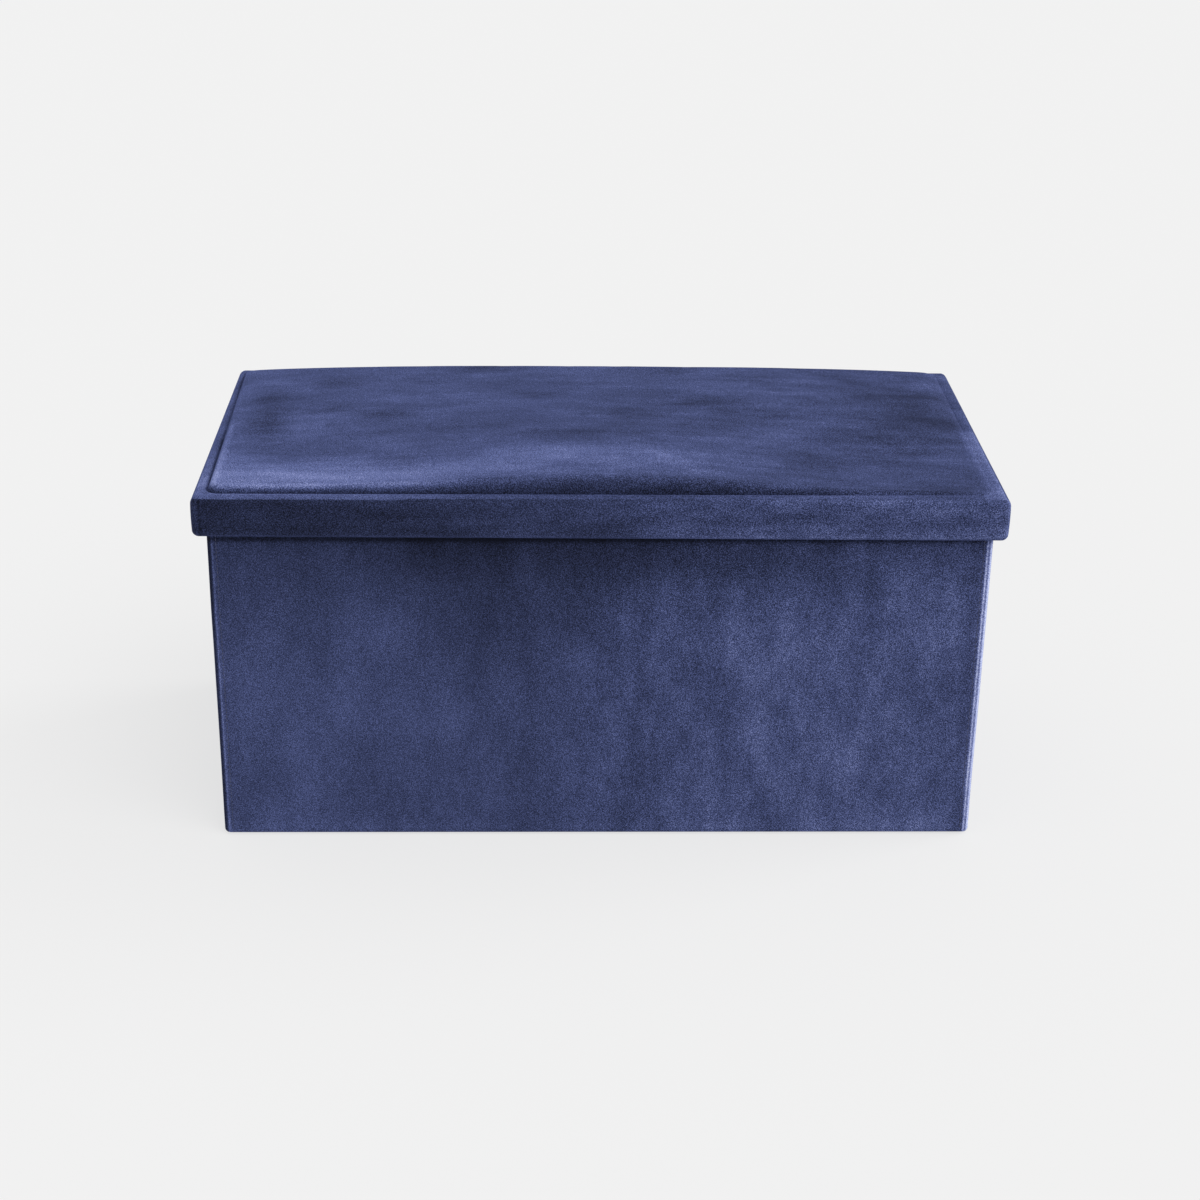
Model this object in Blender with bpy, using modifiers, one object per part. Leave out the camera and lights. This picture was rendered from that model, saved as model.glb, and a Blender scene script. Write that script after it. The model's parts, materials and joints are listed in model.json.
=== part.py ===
"""Folding storage ottoman: a velvet-covered bin with a padded lift-off lid.

Frame: metres, +Z up, origin on the floor under the middle of the bin. +X runs along the length,
-Y is the front. Every wall is a sewn pocket: velvet outside, a fibreboard stiffener inside it, and a
non-woven lining. The end walls are split in two so that they fold inwards, and the floor is two
boards with mitred ends that stand up against the long walls as the bin folds flat.
"""

from math import cos, pi

import bmesh
import bpy
from mathutils import Matrix, Vector

MM = 0.001

# --- driving sizes -------------------------------------------------------------------------------
LID_LENGTH = 760 * MM
LID_DEPTH = 380 * MM
LID_RIM_TOP = 361 * MM
LID_BOTTOM = 322 * MM
CUSHION_INSET = 14 * MM
CUSHION_STEP = 4 * MM
CUSHION_CROWN = 14 * MM
CUSHION_SHOULDER = 8 * MM
BIN_LENGTH = 738 * MM
BIN_DEPTH = 358 * MM
WALL_TOP = 347.5 * MM

# --- materials' thicknesses ----------------------------------------------------------------------
GAP = 0.3 * MM
VELVET = 1.2 * MM
WALL_BOARD = 4.5 * MM
LINING = 0.8 * MM
SKIRT_BOARD = 6 * MM
LID_BOARD = 9 * MM
FLOOR_CLOTH = 0.8 * MM
BASE_BOARD = 4 * MM
BASE_CLOTH = 0.6 * MM
STRAP = 1 * MM

# --- the sewn wall -------------------------------------------------------------------------------
BOARD_START = VELVET + GAP
RETURN_START = BOARD_START + WALL_BOARD + 0.4 * MM
WALL = RETURN_START + VELVET
INNER_RETURN = 25 * MM
STITCHED_FLANGE = 11 * MM
COVER_BOTTOM = FLOOR_CLOTH + GAP
BOARD_BOTTOM = COVER_BOTTOM + 0.4 * MM

# --- folding -------------------------------------------------------------------------------------
CORNER_GAP = 8 * MM
HINGE_CLEARANCE = 0.4 * MM
FOLD_STRIP = 4.8 * MM
CORNER_X = BIN_LENGTH / 2 - WALL - HINGE_CLEARANCE
CORNER_Y = BIN_DEPTH / 2 - WALL - CORNER_GAP
FOLD_X = BIN_LENGTH / 2 + HINGE_CLEARANCE

# --- floor boards --------------------------------------------------------------------------------
BASE_BOTTOM = BOARD_BOTTOM
BASE_TOP = BASE_BOTTOM + BASE_BOARD + GAP + BASE_CLOTH
BASE_HINGE_Y = BIN_DEPTH / 2 - WALL - 2 * MM
BASE_HINGE_Z = BASE_TOP + 0.1 * MM
BASE_END_CLEARANCE = 1.5 * MM
STRAP_WIDTH = 25 * MM
STRAP_OVERHANG = 20 * MM
STRAP_LENGTH = 55 * MM

# --- lid -----------------------------------------------------------------------------------------
SKIRT_START = VELVET + GAP
LID_RETURN_START = SKIRT_START + SKIRT_BOARD + GAP
BAND_TOP = LID_RIM_TOP - VELVET - GAP
BAND_RETURN_TOP = LID_BOTTOM + 20 * MM
SKIRT_BOTTOM = LID_BOTTOM + VELVET + GAP
LID_BOARD_BOTTOM = BAND_TOP - LID_BOARD
LID_LINING_TOP = LID_BOARD_BOTTOM - GAP
FOAM_DROP = 3 * VELVET
STAPLE_WIRE = 0.9 * MM
STAPLE_CROWN = 10 * MM
STAPLE_LEG = 6.5 * MM
STAPLE_COLUMNS = 5
STAPLE_SPAN = 620 * MM
STAPLE_ROW_Y = 145 * MM
STAPLE_END_X = 345 * MM
SLOT = STAPLE_WIRE + 2 * GAP

MATERIALS = {
    "velvet": ((0.075, 0.085, 0.23), 0.9, 0.0),
    "fibreboard": ((0.42, 0.29, 0.17), 0.8, 0.0),
    "lining": ((0.03, 0.03, 0.035), 0.95, 0.0),
    "foam": ((0.85, 0.8, 0.62), 0.95, 0.0),
    "webbing": ((0.04, 0.045, 0.09), 0.9, 0.0),
    "staple_steel": ((0.6, 0.6, 0.62), 0.35, 1.0),
}


def clear_scene():
    for obj in list(bpy.data.objects):
        bpy.data.objects.remove(obj)


def make_collection(name):
    collection = bpy.data.collections.new(name)
    bpy.context.scene.collection.children.link(collection)
    return collection


def make_material(name):
    colour, roughness, metallic = MATERIALS[name]
    material = bpy.data.materials.new(name)
    material.use_nodes = True
    shader = material.node_tree.nodes["Principled BSDF"]
    shader.inputs["Base Color"].default_value = (*colour, 1.0)
    shader.inputs["Roughness"].default_value = roughness
    shader.inputs["Metallic"].default_value = metallic
    return material


clear_scene()
PARTS = make_collection("folding_storage_ottoman")
CUTTERS = make_collection("cutters")
FINISH = {name: make_material(name) for name in MATERIALS}


def world_location(obj):
    place = Vector()
    while obj is not None:
        place += obj.location
        obj = obj.parent
    return place


def add_object(name, data, material, location, angle=0.0, tilt=(0.0, 0.0), pivot=None):
    """Links an object to the parts, turned by angle about Z, and hangs it on its pivot empty."""
    obj = bpy.data.objects.new(name, data)
    PARTS.objects.link(obj)
    if not data.materials:
        data.materials.append(FINISH[material])
    obj.rotation_euler = (tilt[0], tilt[1], angle)
    obj.location = Vector(location)
    if pivot is not None:
        obj.parent = pivot
        obj.location -= world_location(pivot)
    return obj


def add_pivot(name, location, parent=None):
    """An empty on a hinge axis; everything that turns about that axis hangs on it."""
    empty = bpy.data.objects.new(name, None)
    PARTS.objects.link(empty)
    empty.location = Vector(location)
    if parent is not None:
        empty.parent = parent
        empty.location -= world_location(parent)
    return empty


def block_mesh(name, size):
    bm = bmesh.new()
    bmesh.ops.create_cube(bm, size=1.0, matrix=Matrix.Diagonal((*size, 1.0)))
    mesh = bpy.data.meshes.new(name)
    bm.to_mesh(mesh)
    bm.free()
    return mesh


def add_block(name, size, material, centre, angle=0.0, pivot=None):
    return add_object(name, block_mesh(name, size), material, centre, angle, pivot=pivot)


def outline_curve(name, outline, thickness):
    """A flat closed outline as a 2D curve, filled on both sides and extruded to the thickness."""
    curve = bpy.data.curves.new(name, "CURVE")
    curve.dimensions = "2D"
    curve.fill_mode = "BOTH"
    curve.extrude = thickness / 2
    spline = curve.splines.new("POLY")
    spline.points.add(len(outline) - 1)
    for point, (x, y) in zip(spline.points, outline):
        point.co = (x, y, 0, 1)
    spline.use_cyclic_u = True
    return curve


def add_section(name, outline, length, material, origin, angle, pivot=None):
    """A section drawn as (inwards, up) from the wall's outer face, extruded along the wall."""
    curve = outline_curve(name, outline, length)
    return add_object(name, curve, material, origin, angle + pi / 2, (pi / 2, 0.0), pivot)


def into_wall(origin, angle, along, inwards, up):
    """The world point at these distances in the frame of a wall whose inward side is +Y turned."""
    return Vector(origin) + Matrix.Rotation(angle, 3, "Z") @ Vector((along, inwards, up))


# --- walls ---------------------------------------------------------------------------------------
def velvet_section():
    """The velvet runs up the outside, over the top edge and down inside to a hem."""
    hem = WALL_TOP - INNER_RETURN
    under = WALL_TOP - VELVET
    return [
        (0, COVER_BOTTOM),
        (VELVET, COVER_BOTTOM),
        (VELVET, under),
        (RETURN_START, under),
        (RETURN_START, hem),
        (WALL, hem),
        (WALL, WALL_TOP),
        (0, WALL_TOP),
    ]


def add_wall(name, origin, angle, length, board_length, board_shift=0.0, pivot=None):
    """One sewn panel: velvet, the stiffener in its pocket, and the lining."""
    add_section(f"{name}_cover", velvet_section(), length, "velvet", origin, angle, pivot)
    board_height = WALL_TOP - VELVET - GAP - BOARD_BOTTOM
    board_centre = into_wall(
        origin, angle, board_shift, BOARD_START + WALL_BOARD / 2, BOARD_BOTTOM + board_height / 2
    )
    board_size = (board_length, WALL_BOARD, board_height)
    add_block(f"{name}_board", board_size, "fibreboard", board_centre, angle, pivot)
    lining_height = WALL_TOP - INNER_RETURN - GAP - BOARD_BOTTOM
    lining_centre = into_wall(
        origin, angle, 0.0, RETURN_START + LINING / 2, BOARD_BOTTOM + lining_height / 2
    )
    lining_size = (length - 2 * GAP, LINING, lining_height)
    add_block(f"{name}_lining", lining_size, "lining", lining_centre, angle, pivot)


def add_long_walls(back_pivot):
    for name, side, angle, pivot in (("front", -1, 0.0, None), ("back", 1, pi, back_pivot)):
        origin = (0.0, side * BIN_DEPTH / 2, 0.0)
        board_length = BIN_LENGTH - 2 * STITCHED_FLANGE
        add_wall(name, origin, angle, BIN_LENGTH, board_length, pivot=pivot)


def add_end_wall_half(side_name, half_name, pivot):
    """Half an end wall: from the corner hinge to the fold in the middle of the end."""
    side = -1 if side_name == "left" else 1
    half = -1 if half_name == "front" else 1
    angle = side * pi / 2
    near = CORNER_Y - HINGE_CLEARANCE
    far = FOLD_STRIP / 2
    origin = (side * BIN_LENGTH / 2, half * (near + far) / 2, 0.0)
    length = near - far
    add_wall(f"{side_name}_{half_name}", origin, angle, length, length - 4 * MM, pivot=pivot)


def add_hinge_strips():
    """The velvet between two panels, which is what the bin folds on."""
    strip_height = WALL_TOP - BOARD_BOTTOM
    middle_z = BOARD_BOTTOM + strip_height / 2
    corner_width = CORNER_GAP + HINGE_CLEARANCE - 2 * GAP
    corner_y = BIN_DEPTH / 2 - WALL - GAP - corner_width / 2
    for side_name, side in (("left", -1), ("right", 1)):
        strip_x = side * (BIN_LENGTH - VELVET) / 2
        for half_name, half in (("front", -1), ("back", 1)):
            add_block(
                f"{half_name}_{side_name}_corner_strip",
                (VELVET, corner_width, strip_height),
                "velvet",
                (strip_x, half * corner_y, middle_z),
            )
        add_block(
            f"{side_name}_fold_strip",
            (VELVET, FOLD_STRIP - 2 * GAP, strip_height),
            "velvet",
            (strip_x, 0.0, middle_z),
        )


# --- floor ---------------------------------------------------------------------------------------
def add_floor_cloth():
    size = (BIN_LENGTH - 2 * VELVET, BIN_DEPTH - 2 * VELVET, FLOOR_CLOTH)
    add_block("floor_cloth", size, "lining", (0.0, 0.0, FLOOR_CLOTH / 2))


def base_outline(half):
    """A floor board seen from above: its ends are mitred at 45 degrees to clear the end walls."""
    hinge_edge = BASE_HINGE_Y - GAP
    middle_edge = 0.5 * MM
    long_half = CORNER_X - BASE_END_CLEARANCE
    short_half = long_half - (hinge_edge - middle_edge)
    return [
        (-long_half, half * hinge_edge),
        (-short_half, half * middle_edge),
        (short_half, half * middle_edge),
        (long_half, half * hinge_edge),
    ]


def add_base_leaf(half_name, pivot):
    half = -1 if half_name == "front" else 1
    board_z = BASE_BOTTOM + BASE_BOARD / 2
    cloth_z = BASE_TOP - BASE_CLOTH / 2
    for name, thickness, z, material in (
        (f"base_{half_name}_board", BASE_BOARD, board_z, "fibreboard"),
        (f"base_{half_name}_cloth", BASE_CLOTH, cloth_z, "lining"),
    ):
        curve = outline_curve(name, base_outline(half), thickness)
        add_object(name, curve, material, (0.0, 0.0, z), pivot=pivot)


def add_pull_strap(pivot):
    """A webbing strap sewn to the front floor board, long enough to grip past its edge."""
    centre_y = STRAP_OVERHANG - STRAP_LENGTH / 2
    centre = (0.0, centre_y, BASE_TOP + GAP + STRAP / 2)
    add_block("base_pull_strap", (STRAP_WIDTH, STRAP_LENGTH, STRAP), "webbing", centre, pivot=pivot)


# --- lid -----------------------------------------------------------------------------------------
def band_section():
    """The velvet band: down the outside of the skirt, under it and up inside to a hem."""
    bottom = LID_BOTTOM
    top = BAND_TOP
    hem = BAND_RETURN_TOP
    inside = LID_RETURN_START
    return [
        (0, bottom),
        (inside + VELVET, bottom),
        (inside + VELVET, hem),
        (inside, hem),
        (inside, bottom + VELVET),
        (VELVET, bottom + VELVET),
        (VELVET, top),
        (0, top),
    ]


def add_lid_sides(pivot):
    skirt_height = BAND_TOP - SKIRT_BOTTOM
    skirt_z = SKIRT_BOTTOM + skirt_height / 2
    band_depth = LID_RETURN_START + VELVET
    for name, angle, reach, length, inset in (
        ("front", 0.0, LID_DEPTH / 2, LID_LENGTH, 0.0),
        ("back", pi, LID_DEPTH / 2, LID_LENGTH, 0.0),
        ("left", -pi / 2, LID_LENGTH / 2, LID_DEPTH, band_depth + GAP),
        ("right", pi / 2, LID_LENGTH / 2, LID_DEPTH, band_depth + GAP),
    ):
        origin = Matrix.Rotation(angle, 3, "Z") @ Vector((0.0, -reach, 0.0))
        band_length = length - 2 * inset
        band_name = f"lid_band_{name}"
        add_section(band_name, band_section(), band_length, "velvet", origin, angle, pivot)
        if name in ("front", "back"):
            skirt_length = length - 2 * SKIRT_START
        else:
            skirt_length = length - 2 * (band_depth + GAP)
        centre = into_wall(origin, angle, 0.0, SKIRT_START + SKIRT_BOARD / 2, skirt_z)
        size = (skirt_length, SKIRT_BOARD, skirt_height)
        add_block(f"lid_skirt_{name}", size, "fibreboard", centre, angle, pivot)


def lid_height(x, y):
    """The height of the velvet's upper face over the lid: a flat rim, then the crowned cushion.

    The crown rises steadily towards mid-length, but across the lid it is nearly full at once.
    """
    from_edge = min(LID_LENGTH / 2 - abs(x), LID_DEPTH / 2 - abs(y))
    rise = min(max((from_edge - CUSHION_INSET) / CUSHION_SHOULDER, 0.0), 1.0)
    along = max(cos(pi * x / LID_LENGTH), 0.0)
    across = max(cos(pi * y / LID_DEPTH), 0.0) ** 0.15
    return LID_RIM_TOP + rise * (CUSHION_STEP + CUSHION_CROWN * along * across)


def lid_stations(half, middle_steps):
    """Half a row of grid lines: the outer edge, both edges of the step, then even to the middle."""
    step_foot = half - CUSHION_INSET
    step_head = step_foot - CUSHION_SHOULDER
    evenly = [step_head * i / middle_steps for i in range(middle_steps)]
    return [*evenly, step_head, step_foot, half]


def height_grid(name, xs, ys, drop):
    """An open sheet over the lid at the stations given, lowered by drop."""
    bm = bmesh.new()
    bmesh.ops.create_grid(bm, x_segments=len(xs) - 1, y_segments=len(ys) - 1, size=1.0)
    for vert in bm.verts:
        column = round((vert.co.x + 1) / 2 * (len(xs) - 1))
        row = round((vert.co.y + 1) / 2 * (len(ys) - 1))
        x, y = xs[column], ys[row]
        vert.co = (x, y, lid_height(x, y) - drop)
    mesh = bpy.data.meshes.new(name)
    bm.to_mesh(mesh)
    bm.free()
    return mesh


def both_ways(half_stations):
    return [-s for s in reversed(half_stations[1:])] + half_stations


def add_lid_top(pivot):
    """The velvet top and the foam pad under its raised part."""
    xs = both_ways(lid_stations(LID_LENGTH / 2, 7))
    ys = both_ways(lid_stations(LID_DEPTH / 2, 4))
    cover_mesh = height_grid("lid_top_cover", xs, ys, 0.0)
    cover = add_object("lid_top_cover", cover_mesh, "velvet", (0, 0, 0), pivot=pivot)
    solidify = cover.modifiers.new("thickness", "SOLIDIFY")
    solidify.thickness = VELVET
    solidify.offset = -1.0
    foam_mesh = height_grid("lid_foam", xs[2:-2], ys[2:-2], FOAM_DROP)
    foam = add_object("lid_foam", foam_mesh, "foam", (0, 0, 0), pivot=pivot)
    close_below(foam_mesh, LID_RIM_TOP - VELVET)
    return cover, foam


def close_below(mesh, floor_z):
    """Turns an open sheet into a solid whose underside is flat at floor_z."""
    bm = bmesh.new()
    bm.from_mesh(mesh)
    rim = [edge for edge in bm.edges if edge.is_boundary]
    skirt = bmesh.ops.extrude_edge_only(bm, edges=rim)["geom"]
    lowered = [part for part in skirt if isinstance(part, bmesh.types.BMVert)]
    for vert in lowered:
        vert.co.z = floor_z
    bmesh.ops.contextual_create(bm, geom=[edge for edge in bm.edges if edge.is_boundary])
    bmesh.ops.recalc_face_normals(bm, faces=bm.faces)
    bm.to_mesh(mesh)
    bm.free()


def staple_places():
    """Where the lid's lining is stapled: a row along each long side and one staple at each end."""
    spacing = STAPLE_SPAN / (STAPLE_COLUMNS - 1)
    along = [-STAPLE_SPAN / 2 + spacing * i for i in range(STAPLE_COLUMNS)]
    rows = [(x, side * STAPLE_ROW_Y, 0.0) for side in (-1, 1) for x in along]
    ends = [(side * STAPLE_END_X, 0.0, pi / 2) for side in (-1, 1)]
    return rows + ends


def staple_section():
    """A staple seen from the side, its crown below and its legs pointing up into the board."""
    half = STAPLE_CROWN / 2
    inner = half - STAPLE_WIRE
    return [
        (-half, 0),
        (half, 0),
        (half, STAPLE_LEG),
        (inner, STAPLE_LEG),
        (inner, STAPLE_WIRE),
        (-inner, STAPLE_WIRE),
        (-inner, STAPLE_LEG),
        (-half, STAPLE_LEG),
    ]


def add_staples(pivot):
    crown_bottom = LID_LINING_TOP - LINING - GAP - STAPLE_WIRE
    curve = outline_curve("staple", staple_section(), STAPLE_WIRE)
    for number, (x, y, angle) in enumerate(staple_places(), start=1):
        name = f"lid_staple_{number:02d}"
        place = (x, y, crown_bottom)
        add_object(name, curve, "staple_steel", place, angle, (pi / 2, 0.0), pivot)


def add_slot_cutter(top, bottom):
    """One cutter with a square slot for every staple leg."""
    bm = bmesh.new()
    middle = (STAPLE_CROWN - STAPLE_WIRE) / 2
    for x, y, angle in staple_places():
        for side in (-1, 1):
            place = Matrix.Translation((x, y, (top + bottom) / 2))
            turn = Matrix.Rotation(angle, 4, "Z") @ Matrix.Translation((side * middle, 0, 0))
            size = Matrix.Diagonal((SLOT, SLOT, top - bottom, 1.0))
            bmesh.ops.create_cube(bm, size=1.0, matrix=place @ turn @ size)
    mesh = bpy.data.meshes.new("staple_slots")
    bm.to_mesh(mesh)
    bm.free()
    cutter = bpy.data.objects.new("staple_slots", mesh)
    CUTTERS.objects.link(cutter)
    cutter.hide_render = True
    cutter.display_type = "WIRE"
    return cutter


def cut(obj, cutter):
    modifier = obj.modifiers.new("slots", "BOOLEAN")
    modifier.operation = "DIFFERENCE"
    modifier.object = cutter


def add_lid_board(pivot):
    inset = SKIRT_START + SKIRT_BOARD + GAP
    length, depth = LID_LENGTH - 2 * inset, LID_DEPTH - 2 * inset
    board_z = LID_BOARD_BOTTOM + LID_BOARD / 2
    board = add_block(
        "lid_board", (length, depth, LID_BOARD), "fibreboard", (0, 0, board_z), pivot=pivot
    )
    lining_z = LID_LINING_TOP - LINING / 2
    lining = add_block(
        "lid_lining", (length, depth, LINING), "lining", (0, 0, lining_z), pivot=pivot
    )
    leg_top = LID_LINING_TOP - LINING - GAP - STAPLE_WIRE + STAPLE_LEG + GAP
    cutter = add_slot_cutter(leg_top, LID_LINING_TOP - 3 * LINING)
    cut(board, cutter)
    cut(lining, cutter)


# --- assembly ------------------------------------------------------------------------------------
def add_end_walls():
    """Both ends, each on two hinges in a row; the left end also carries the back wall."""
    pivots = {}
    for side_name, side in (("left", -1), ("right", 1)):
        corner = (side * CORNER_X, -CORNER_Y, 0.0)
        front_pivot = add_pivot(f"{side_name}_corner_hinge", corner)
        fold_pivot = add_pivot(f"{side_name}_fold_hinge", (side * FOLD_X, 0.0, 0.0), front_pivot)
        add_end_wall_half(side_name, "front", front_pivot)
        add_end_wall_half(side_name, "back", fold_pivot)
        pivots[side_name] = fold_pivot
    return pivots


def build():
    fold_pivots = add_end_walls()
    back_corner = (-CORNER_X, CORNER_Y, 0.0)
    back_pivot = add_pivot("back_corner_hinge", back_corner, fold_pivots["left"])
    add_long_walls(back_pivot)
    add_hinge_strips()
    add_floor_cloth()
    front_leaf = add_pivot("base_front_hinge", (0.0, -BASE_HINGE_Y, BASE_HINGE_Z))
    back_leaf = add_pivot("base_back_hinge", (0.0, BASE_HINGE_Y, BASE_HINGE_Z), back_pivot)
    add_base_leaf("front", front_leaf)
    add_base_leaf("back", back_leaf)
    add_pull_strap(front_leaf)
    lid = add_pivot("lid_lift", (0.0, 0.0, LID_BOTTOM))
    add_lid_sides(lid)
    add_lid_board(lid)
    add_lid_top(lid)
    add_staples(lid)


build()
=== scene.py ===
"""The looks of the folding storage ottoman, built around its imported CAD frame."""

import json
from math import atan2, copysign, cos, exp, hypot, pi, radians, sin, tanh

import bmesh
import bpy
from mathutils import Matrix, Vector, noise


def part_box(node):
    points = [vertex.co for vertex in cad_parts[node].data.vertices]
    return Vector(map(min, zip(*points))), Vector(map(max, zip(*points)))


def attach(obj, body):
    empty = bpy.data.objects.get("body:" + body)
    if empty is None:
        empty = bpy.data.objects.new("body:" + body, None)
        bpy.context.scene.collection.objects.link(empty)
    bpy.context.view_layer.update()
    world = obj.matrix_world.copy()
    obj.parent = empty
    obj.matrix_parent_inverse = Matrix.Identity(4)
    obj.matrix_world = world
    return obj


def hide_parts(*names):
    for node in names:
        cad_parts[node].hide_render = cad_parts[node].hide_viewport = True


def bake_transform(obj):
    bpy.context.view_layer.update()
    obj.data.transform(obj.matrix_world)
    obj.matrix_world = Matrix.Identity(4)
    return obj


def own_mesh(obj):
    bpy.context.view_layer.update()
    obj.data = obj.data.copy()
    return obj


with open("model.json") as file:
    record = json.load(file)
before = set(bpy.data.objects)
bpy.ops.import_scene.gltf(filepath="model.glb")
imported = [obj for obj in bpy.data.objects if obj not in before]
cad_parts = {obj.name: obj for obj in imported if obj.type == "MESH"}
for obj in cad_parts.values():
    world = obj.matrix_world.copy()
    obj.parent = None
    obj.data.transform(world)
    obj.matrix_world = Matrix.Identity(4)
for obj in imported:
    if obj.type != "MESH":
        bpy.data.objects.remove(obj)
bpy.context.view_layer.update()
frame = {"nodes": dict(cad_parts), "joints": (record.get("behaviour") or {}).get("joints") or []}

MM = 0.001

# --- sizes read from the frame -------------------------------------------------------------------
FRONT_LOW, FRONT_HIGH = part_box("front_cover")
BIN_A = FRONT_HIGH.x
BIN_B = -FRONT_LOW.y
WALL = FRONT_HIGH.y - FRONT_LOW.y
WALL_BOTTOM = FRONT_LOW.z
WALL_TOP = FRONT_HIGH.z
HEM_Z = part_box("front_lining")[1].z
LID_LOW, LID_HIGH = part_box("lid_top_cover")
LID_A = LID_HIGH.x
LID_B = LID_HIGH.y
BAND_LOW, BAND_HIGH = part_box("lid_band_front")
LID_BOTTOM = BAND_LOW.z
LID_WALL = BAND_HIGH.y - BAND_LOW.y
FOAM_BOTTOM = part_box("lid_foam")[0].z
JOINTS = {joint["name"]: joint for joint in frame["joints"]}
CORNER_X, CORNER_Y = (-place for place in JOINTS["wall_fold"]["pos_m"][:2])

VELVET = 1.2 * MM
LINING = 0.8 * MM
RIM_Z = LID_LOW.z + VELVET


# --- materials -----------------------------------------------------------------------------------
class Nodes:
    """A small helper for building one material's node tree."""

    def __init__(self, name):
        self.material = bpy.data.materials.new(name)
        self.material.use_nodes = True
        self.tree = self.material.node_tree
        self.shader = self.tree.nodes["Principled BSDF"]

    def add(self, kind, **settings):
        node = self.tree.nodes.new(kind)
        for key, value in settings.items():
            setattr(node, key, value)
        return node

    def link(self, source, target):
        self.tree.links.new(source, target)

    def fill(self, node, **values):
        """Sets a node's sockets; an underscore stands for the space in a socket's name."""
        for name, value in values.items():
            node.inputs[name.replace("_", " ")].default_value = value

    def coordinates(self, scale=(1, 1, 1), offset=(0, 0, 0), turn=(0, 0, 0)):
        texture = self.add("ShaderNodeTexCoord")
        mapping = self.add("ShaderNodeMapping")
        self.fill(mapping, Scale=scale, Location=offset, Rotation=turn)
        self.link(texture.outputs["Object"], mapping.inputs["Vector"])
        return mapping.outputs["Vector"]

    def noise(self, scale, detail, roughness, stretch=(1, 1, 1), offset=(0, 0, 0), turn=(0, 0, 0)):
        node = self.add("ShaderNodeTexNoise")
        self.fill(node, Scale=scale, Detail=detail, Roughness=roughness)
        self.link(self.coordinates(stretch, offset, turn), node.inputs["Vector"])
        return node.outputs["Fac"]

    def cells(self, scale, randomness=1.0):
        node = self.add("ShaderNodeTexVoronoi")
        self.fill(node, Scale=scale, Randomness=randomness)
        self.link(self.coordinates(), node.inputs["Vector"])
        return node.outputs["Distance"]

    def spread(self, value, from_low, from_high, to_low, to_high, smooth=True):
        kind = "SMOOTHSTEP" if smooth else "LINEAR"
        node = self.add("ShaderNodeMapRange", interpolation_type=kind)
        self.fill(node, From_Min=from_low, From_Max=from_high, To_Min=to_low, To_Max=to_high)
        self.link(value, node.inputs["Value"])
        return node.outputs["Result"]

    def combine(self, operation, first, second):
        node = self.add("ShaderNodeMath", operation=operation)
        self.link(first, node.inputs[0])
        self.link(second, node.inputs[1])
        return node.outputs["Value"]

    def multiply(self, first, second):
        return self.combine("MULTIPLY", first, second)

    def add_up(self, first, second):
        return self.combine("ADD", first, second)

    def attribute(self, name):
        return self.add("ShaderNodeAttribute", attribute_name=name).outputs["Fac"]

    def ramp(self, value, stops):
        node = self.add("ShaderNodeValToRGB")
        while len(node.color_ramp.elements) < len(stops):
            node.color_ramp.elements.new(0.5)
        for element, (place, colour) in zip(node.color_ramp.elements, stops):
            element.position = place
            element.color = (*colour, 1.0)
        self.link(value, node.inputs["Fac"])
        return node.outputs["Color"]

    def bump(self, height, distance, strength, under=None):
        node = self.add("ShaderNodeBump")
        self.fill(node, Distance=distance, Strength=strength)
        self.link(height, node.inputs["Height"])
        if under is not None:
            self.link(under, node.inputs["Normal"])
        return node.outputs["Normal"]

    def finish(self, colour, normal, roughness=None, **constants):
        self.link(colour, self.shader.inputs["Base Color"])
        self.link(normal, self.shader.inputs["Normal"])
        if roughness is not None:
            self.link(roughness, self.shader.inputs["Roughness"])
        self.fill(self.shader, **constants)
        return self.material


# A noise turned this way runs square to no face, so that it looks alike on all of them.
ASKEW = (0.62, 0.41, 0.93)

# The pile's colour by tone, from brushed dark to standing up; the near-white stops above 1.0 are for
# painted highlights.
FULL_TONE = 2.0
VELVET_STOPS = (
    (0.0, (0.0035, 0.0045, 0.011)),
    (0.35, (0.016, 0.021, 0.053)),
    (0.65, (0.039, 0.051, 0.126)),
    (1.0, (0.101, 0.127, 0.300)),
    (1.4, (0.30, 0.34, 0.60)),
    (2.0, (0.64, 0.70, 0.90)),
)


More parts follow.
